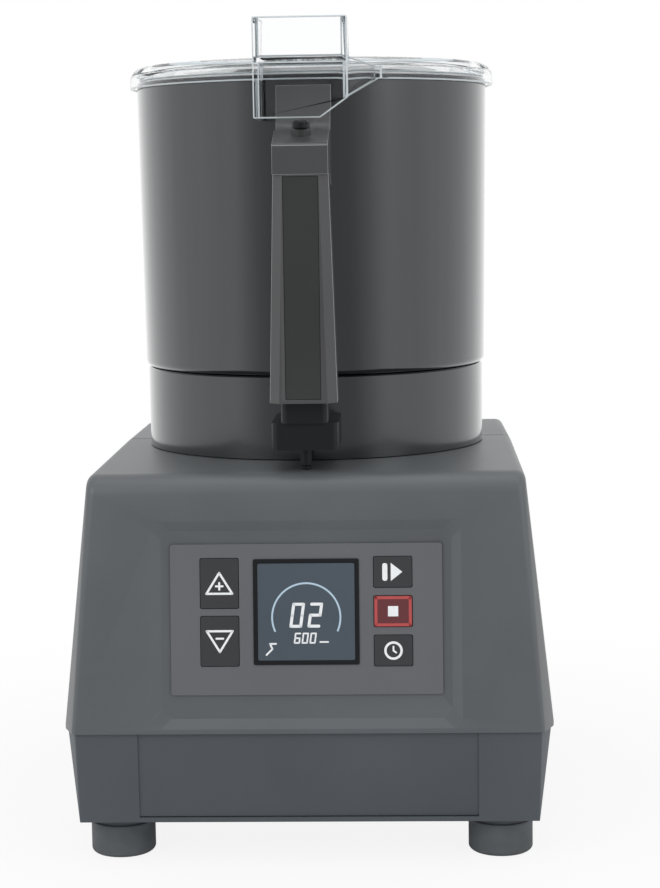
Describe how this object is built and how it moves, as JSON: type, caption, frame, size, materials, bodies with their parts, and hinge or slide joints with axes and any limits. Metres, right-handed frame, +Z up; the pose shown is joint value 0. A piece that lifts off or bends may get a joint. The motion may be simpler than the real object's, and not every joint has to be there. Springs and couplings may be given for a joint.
{
  "type": "vertical cutter mixer",
  "caption": "Table-top vertical cutter mixer: motor base with control panel, metal bowl with front handle, spinning blades and a clear lid that turns to lock over a safety rod.",
  "frame": {"origin": "middle of the base's footprint at table height, feet on z = 0", "axes": "+Z up along the motor and bowl, -Y towards the control panel, +X to the right seen from the front"},
  "size_m": [0.252, 0.309, 0.4305],
  "materials": {
    "housing": "fine moulded texture, dark grey",
    "pan": "fine moulded texture, dark grey",
    "steel_sheet": "zinc plated sheet",
    "rubber": "matt black rubber",
    "screws": "zinc plated",
    "overlay": "satin membrane",
    "black_plastic": "glossy black",
    "display_glass": "lit display face",
    "keys": "satin dark grey",
    "stop_key": "satin dark red",
    "silicone": "grey silicone",
    "board": "coated circuit board",
    "cast_aluminium": "as cast",
    "bearing_steel": "ground steel",
    "laminations": "stacked steel sheets",
    "copper": "varnished copper wire",
    "bowl_metal": "smooth dark metal with fine upright grain",
    "ring_metal": "smooth dark metal",
    "handle": "satin dark grey",
    "insert": "satin black",
    "clear_silicone": "milky clear silicone",
    "spring_steel": "spring wire",
    "acetal": "natural white acetal",
    "blade_steel": "ground steel",
    "clear_plastic": "clear polycarbonate"
  },
  "bodies": {
    "base": {"front_housing": "housing", "rear_housing": "housing", "lower_pan": "pan", "bottom_plate": "steel_sheet", "feet": "rubber", "foot_screws": "screws", "base_screws": "screws", "control_overlay": "overlay", "display_frame": "black_plastic", "display_window": "display_glass", "display_module": "black_plastic", "key_mat": "silicone", "control_board": "board", "board_standoffs": "screws", "motor_flange": "cast_aluminium", "flange_screws": "screws", "end_bell": "cast_aluminium", "upper_bearing": "bearing_steel", "lower_bearing": "bearing_steel", "stator_core": "laminations", "stator_windings": "copper", "tie_bolts": "screws", "shaft_seal": "rubber", "inverter_board": "board", "heat_sink": "cast_aluminium", "capacitors": "black_plastic", "terminal_block": "acetal", "cable_gland": "black_plastic", "inner_lead": "rubber", "safety_switch": "black_plastic", "switch_bracket": "steel_sheet"},
    "rotor": {"motor_shaft": "bearing_steel", "rotor_core": "laminations", "cooling_fan": "black_plastic"},
    "seat": {"seat_ring": "acetal"},
    "bowl": {"bowl": "bowl_metal", "bowl_base_ring": "ring_metal", "handle_grip": "handle", "handle_insert": "insert", "handle_bracket": "handle", "handle_block": "black_plastic", "block_screws": "screws", "rod_guide": "insert", "rod_spring": "spring_steel"},
    "rod": {"safety_rod": "black_plastic"},
    "plunger": {"switch_plunger": "black_plastic"},
    "thrust": {"thrust_ring": "acetal"},
    "cutter": {"cutter_hub": "blade_steel", "lower_blade": "blade_steel", "upper_blade": "blade_steel", "blade_spacer": "blade_steel", "cutter_knob": "insert"},
    "seal": {"lid_seal": "clear_silicone"},
    "lid": {"lid": "clear_plastic"},
    "stopper": {"feed_stopper": "clear_plastic"},
    "key_up_body": {"key_up": "keys"},
    "key_down_body": {"key_down": "keys"},
    "key_start_body": {"key_start": "keys"},
    "key_stop_body": {"key_stop": "stop_key"},
    "key_timer_body": {"key_timer": "keys"}
  },
  "joints": [
    {"name": "motor_spin", "type": "hinge", "parent": "base", "child": "rotor", "pos_m": [0, 0.0105, 0.1], "axis": [0, 0, 1], "continuous": true},
    {"name": "bowl_turn", "type": "hinge", "parent": "base", "child": "seat", "pos_m": [0, 0.0105, 0.2], "axis": [0, 0, 1], "range_deg": [-25, 0]},
    {"name": "bowl_lift", "type": "slide", "parent": "seat", "child": "bowl", "axis": [0, 0, 1], "range_m": [0, 0.15]},
    {"name": "cutter_lift", "type": "slide", "parent": "bowl", "child": "thrust", "axis": [0, 0, 1], "range_m": [0, 0.028]},
    {"name": "cutter_spin", "type": "hinge", "parent": "thrust", "child": "cutter", "pos_m": [0, 0.0105, 0.3], "axis": [0, 0, 1], "continuous": true},
    {"name": "lid_turn", "type": "hinge", "parent": "bowl", "child": "seal", "pos_m": [0, 0.0105, 0.4], "axis": [0, 0, 1], "range_deg": [-30, 0]},
    {"name": "lid_lift", "type": "slide", "parent": "seal", "child": "lid", "axis": [0, 0, 1], "range_m": [0, 0.12]},
    {"name": "stopper_lift", "type": "slide", "parent": "lid", "child": "stopper", "axis": [0, 0, 1], "range_m": [0, 0.04]},
    {"name": "rod_slide", "type": "slide", "parent": "bowl", "child": "rod", "axis": [0, 0, 1], "range_m": [0, 0.0042], "deforming": ["rod_spring"]},
    {"name": "plunger_slide", "type": "slide", "parent": "base", "child": "plunger", "axis": [0, 0, 1], "range_m": [0, 0.0032]},
    {"name": "key_up_press", "type": "slide", "parent": "base", "child": "key_up_body", "axis": [0, 0.994, -0.1098], "range_m": [0, 0.0008], "stiffness_N_per_m": 400, "springref_m": -0.0005},
    {"name": "key_down_press", "type": "slide", "parent": "base", "child": "key_down_body", "axis": [0, 0.994, -0.1098], "range_m": [0, 0.0008], "stiffness_N_per_m": 400, "springref_m": -0.0005},
    {"name": "key_start_press", "type": "slide", "parent": "base", "child": "key_start_body", "axis": [0, 0.994, -0.1098], "range_m": [0, 0.0008], "stiffness_N_per_m": 400, "springref_m": -0.0005},
    {"name": "key_stop_press", "type": "slide", "parent": "base", "child": "key_stop_body", "axis": [0, 0.994, -0.1098], "range_m": [0, 0.0008], "stiffness_N_per_m": 400, "springref_m": -0.0005},
    {"name": "key_timer_press", "type": "slide", "parent": "base", "child": "key_timer_body", "axis": [0, 0.994, -0.1098], "range_m": [0, 0.0008], "stiffness_N_per_m": 400, "springref_m": -0.0005}
  ],
  "couplings": [
    {"joint": "cutter_spin", "follows": "motor_spin", "ratio": 1},
    {"joint": "rod_slide", "follows": "lid_turn", "m_per_rad": -0.0076394},
    {"joint": "plunger_slide", "follows": "lid_turn", "m_per_rad": -0.0057296}
  ]
}
